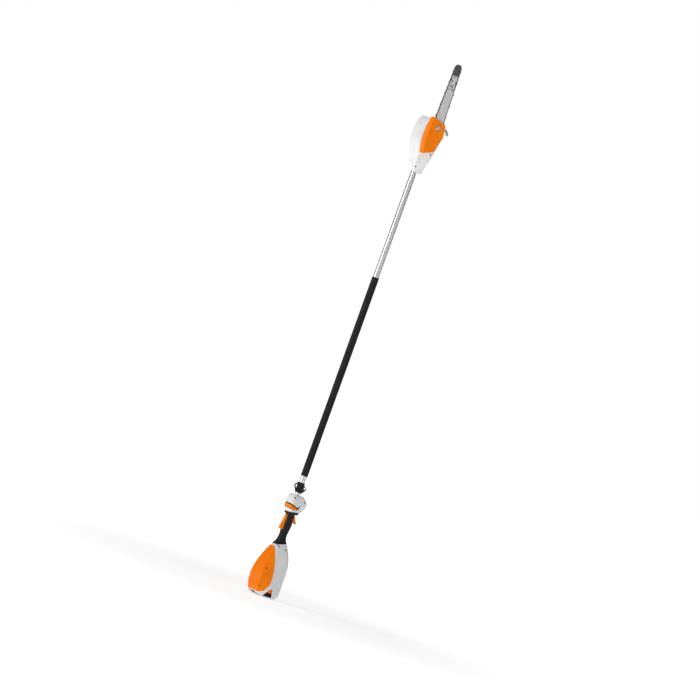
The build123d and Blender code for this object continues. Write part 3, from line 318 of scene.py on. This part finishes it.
def zinc_plate():
    """The bar nut's bright zinc, with tool marks on its flats."""
    n = Nodes("zinc_plate")
    bloom = n.mix(n.noise(220.0, 4.0), srgb("#d8dadc"), srgb("#f4f5f5"))
    tool_marks = n.ramp(n.noise(900.0, 2.0, (1, 0.2, 1)), (0.60, 0.0), (0.75, 0.4))
    n.colour(n.mix(tool_marks, bloom, srgb("#a3a7ab")))
    n.constant(Metallic=0.8)
    n.rough(n.noise(160.0), 0.22, 0.36)
    n.bump(n.noise(1100.0), 0.08, 0.00005)
    return n.material


def guide_bar_steel():
    """Ground bar steel; towards the nose a dark printed and rubbed patch, then the steel turns near black at
    the nose.
    """
    n = Nodes("guide_bar_steel")
    brushed = n.noise(800.0, 3.0, (1, 1, 0.02))
    steel = n.mix(n.ramp(brushed, (0.35, 0.0), (0.65, 1.0)), srgb("#d2d0ce"), srgb("#ebe8e5"))
    height = n.axis("Z")
    patch = n.cells(95.0, "F1", (1, 1.3, 0.55))
    inked = n.ramp(patch, (0.34, 0.85), (0.40, 0.0))
    above_low_edge = n.math("GREATER_THAN", height, BAR_PRINT_Z[0])
    below_high_edge = n.math("LESS_THAN", height, BAR_PRINT_Z[1])
    zone = n.math("MULTIPLY", above_low_edge, below_high_edge)
    mask = n.math("MULTIPLY", zone, inked)
    printed = n.mix(mask, steel, srgb("#3d3f43"))
    fade = n.add("ShaderNodeMapRange")
    for name, value in zip(("From Min", "From Max"), BAR_NOSE_Z):
        fade.inputs[name].default_value = value
    n.link(height, fade.inputs["Value"])
    # Near the nose the colour turns near black, made patchy by noise.
    rubbed = n.ramp(n.noise(140.0, 5.0), (0.35, 0.78), (0.7, 1.0))
    nose = n.math("MULTIPLY", fade.outputs["Result"], rubbed)
    n.colour(n.mix(nose, printed, srgb("#101012")))
    metallic = n.math("SUBTRACT", BAR_METALLIC, n.math("MULTIPLY", nose, NOSE_LESS_METALLIC))
    n.link(metallic, n.shader.inputs["Metallic"])
    n.rough(n.noise(70.0, 6.0, (1, 1, 0.3)), 0.34, 0.46)
    n.bump(brushed, 0.03, 0.00004)
    n.constant(Specular_IOR_Level=SOFT_SPECULAR)
    return n.material


SLOT_MATERIALS = {
    "white_shell": white_shell(),
    "orange_plastic": orange_plastic(),
    "black_plastic": black_plastic(),
    "black_rubber": black_rubber(),
    "tank_plastic": milky_plastic(),
    "polished_aluminium": polished_aluminium(),
    "cast_aluminium": cast_aluminium(),
    "bright_steel": bright_steel(),
    "black_steel": black_steel(),
    "chain_steel": chain_steel(),
    "hook_metal": grey_coating(),
    "copper": wound_copper(),
    "cell_wrap": cell_wrap(),
    "board_green": circuit_board(),
}
NODE_MATERIALS = {"guide_bar": guide_bar_steel(), "bar_nut": zinc_plate()}


def give_materials():
    """Every CAD node takes its record slot's material, or its own."""
    slots = {part["node"]: part["material_slot"] for part in frame["record"]["subparts"]}
    for node, obj in frame["nodes"].items():
        material = NODE_MATERIALS.get(node) or SLOT_MATERIALS[slots[node]]
        if not obj.material_slots:
            obj.data.materials.append(material)
        for slot in obj.material_slots:
            slot.material = material


give_materials()


# ---- Floor, light and camera ----
def make_floor():
    """A wide paper floor that glows more away from the object, so that it meets the studio with no edge."""
    mesh = bpy.data.meshes.new("floor")
    signs = ((-1, -1), (1, -1), (1, 1), (-1, 1))
    corners = [(x * FLOOR_REACH, y * FLOOR_REACH, 0) for x, y in signs]
    mesh.from_pydata(corners, [], [(0, 1, 2, 3)])
    floor = bpy.data.objects.new("floor", mesh)
    bpy.context.collection.objects.link(floor)
    floor.location.z = -FLOOR_DROP
    n = Nodes("floor_paper")
    n.colour(n.mix(n.noise(3.0), (0.94, 0.94, 0.94), (0.96, 0.96, 0.96)))
    n.rough(n.noise(8.0), 0.85, 0.95)
    distance = n.add("ShaderNodeVectorMath", operation="LENGTH")
    n.link(n.place, distance.inputs[0])
    glow = n.add("ShaderNodeMapRange", interpolation_type="SMOOTHSTEP")
    sockets = ("From Min", "From Max", "To Min", "To Max")
    for name, value in zip(sockets, (*FLOOR_GLOW_AT, *FLOOR_GLOW)):
        glow.inputs[name].default_value = value
    n.link(distance.outputs["Value"], glow.inputs["Value"])
    n.shader.inputs["Emission Color"].default_value = (1, 1, 1, 1)
    n.link(glow.outputs["Result"], n.shader.inputs["Emission Strength"])
    floor.data.materials.append(n.material)


def direction(azimuth, elevation):
    """A unit vector from the object, turned about Z from -Y by the azimuth and raised by the elevation."""
    flat = cos(elevation)
    return Vector((sin(azimuth) * flat, -cos(azimuth) * flat, sin(elevation)))


def make_camera():
    data = bpy.data.cameras.new("camera")
    data.lens = LENS_MM
    data.sensor_width = SENSOR_MM
    distance = PICTURE_SIDE * LENS_MM / SENSOR_MM
    data.clip_start = distance * 0.1
    data.clip_end = distance * 10
    camera = bpy.data.objects.new("camera", data)
    back = direction(VIEW_AZIMUTH, VIEW_ELEVATION)
    level_right = Vector((cos(VIEW_AZIMUTH), sin(VIEW_AZIMUTH), 0))
    level_up = back.cross(level_right)
    # Turning the camera anticlockwise by the lean tips the pole to the right in the picture.
    right = level_right * cos(POLE_LEAN) + level_up * sin(POLE_LEAN)
    up = back.cross(right)
    centre = level_right * POLE_IN_VIEW[0] + Vector((0, 0, POLE_IN_VIEW[1]))
    turn = Matrix((right, up, back)).transposed().to_4x4()
    camera.matrix_world = Matrix.Translation(centre + back * distance) @ turn
    bpy.context.collection.objects.link(camera)
    bpy.context.scene.camera = camera


def area_light(name, towards, distance, size, power, target=MIDDLE):
    """A soft box on the given side of the target, facing it; its size is (width, height)."""
    data = bpy.data.lights.new(name, "AREA")
    data.energy = power
    data.shape = "RECTANGLE"
    data.size, data.size_y = size
    light = bpy.data.objects.new(name, data)
    aim = Vector(towards).normalized()
    light.location = Vector(target) + aim * distance
    light.rotation_euler = aim.to_track_quat("Z", "Y").to_euler()
    bpy.context.collection.objects.link(light)


def view_turned(turn, height):
    """The view's direction turned about the pole and raised, in degrees; a positive turn is to the right."""
    return direction(VIEW_AZIMUTH + radians(turn), radians(height))


def make_studio():
    """The world: plain white to the camera, and as a light strongest on the left of the view."""
    world = bpy.data.worlds.new("studio")
    world.use_nodes = True
    tree = world.node_tree
    background = tree.nodes["Background"]
    background.inputs["Color"].default_value = (1, 1, 1, 1)
    coordinates = tree.nodes.new("ShaderNodeTexCoord")
    facing = tree.nodes.new("ShaderNodeVectorMath")
    facing.operation = "DOT_PRODUCT"
    facing.inputs[1].default_value = view_turned(STUDIO_TURN, STUDIO_RISE)
    tree.links.new(coordinates.outputs["Generated"], facing.inputs[0])
    glow = tree.nodes.new("ShaderNodeMapRange")
    glow.inputs["From Min"].default_value = -1.0
    glow.inputs["To Min"].default_value = STUDIO_DIM
    glow.inputs["To Max"].default_value = STUDIO_BRIGHT
    tree.links.new(facing.outputs["Value"], glow.inputs["Value"])
    rays = tree.nodes.new("ShaderNodeLightPath")
    strength = tree.nodes.new("ShaderNodeMix")
    strength.data_type = "FLOAT"
    strength.inputs[3].default_value = 1.0
    tree.links.new(rays.outputs["Is Camera Ray"], strength.inputs[0])
    tree.links.new(glow.outputs["Result"], strength.inputs[2])
    tree.links.new(strength.outputs[0], background.inputs["Strength"])
    bpy.context.scene.world = world


def make_lights():
    area_light("key", view_turned(-52, 8), SIDE_LIGHT_DISTANCE, (1.5, 3.4), 121, LOW_TARGET)
    area_light("fill", view_turned(30, 6), SIDE_LIGHT_DISTANCE, (2.0, 3.0), 22, LOW_TARGET)
    area_light("rim", view_turned(85, 5), 4.0, (0.4, 3.0), 5)
    area_light("top", (0, 0, 1), TOP_LIGHT_DISTANCE, (4.0, 4.0), 150)


make_floor()
make_camera()
make_studio()
make_lights()
bpy.context.scene.view_settings.view_transform = "Standard"
